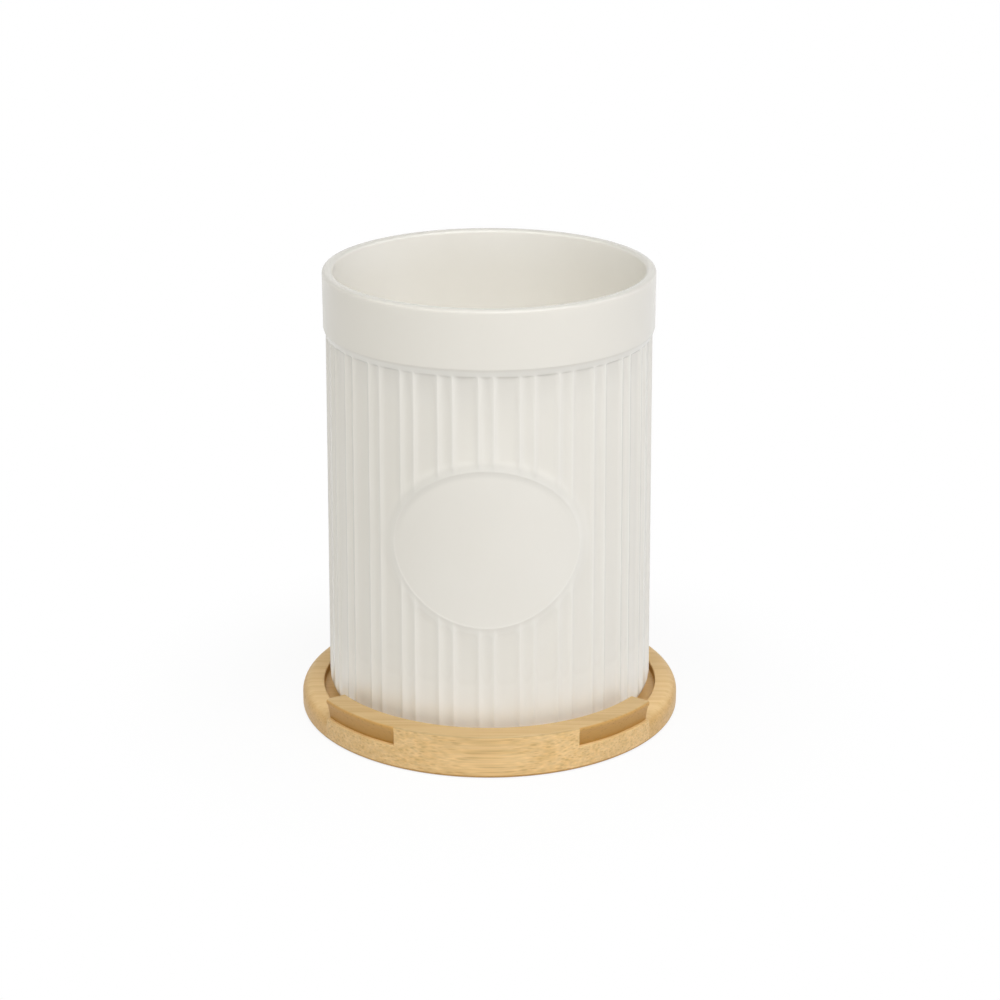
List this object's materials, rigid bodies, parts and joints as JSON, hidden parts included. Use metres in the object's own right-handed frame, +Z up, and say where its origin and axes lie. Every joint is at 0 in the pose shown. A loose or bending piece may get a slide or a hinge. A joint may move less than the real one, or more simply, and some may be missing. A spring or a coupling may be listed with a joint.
{
  "type": "utensil holder",
  "caption": "Round glazed ceramic utensil holder with a fluted wall, a smooth collar and a bare oval medallion, standing in a round bamboo base with raised front and rear rims.",
  "frame": {"origin": "on the vertical axis of pot and base, on the surface that the base stands on", "axes": "+Z up along the axis, -Y towards the medallion at the front, +X to the right"},
  "size_m": [0.142, 0.142, 0.1688],
  "materials": {
    "glazed_stoneware": "warm off-white gloss glaze",
    "bamboo_board": "natural bamboo, oiled satin",
    "bamboo_rim": "natural bamboo, oiled satin"
  },
  "bodies": {
    "base": {"base_board": "bamboo_board", "front_rim": "bamboo_rim", "rear_rim": "bamboo_rim"},
    "pot": {"fluted_pot": "glazed_stoneware"}
  },
  "joints": [
    {"name": "pot_lift", "type": "slide", "parent": "base", "child": "pot", "axis": [0, 0, 1], "range_m": [0, 0.04]}
  ]
}
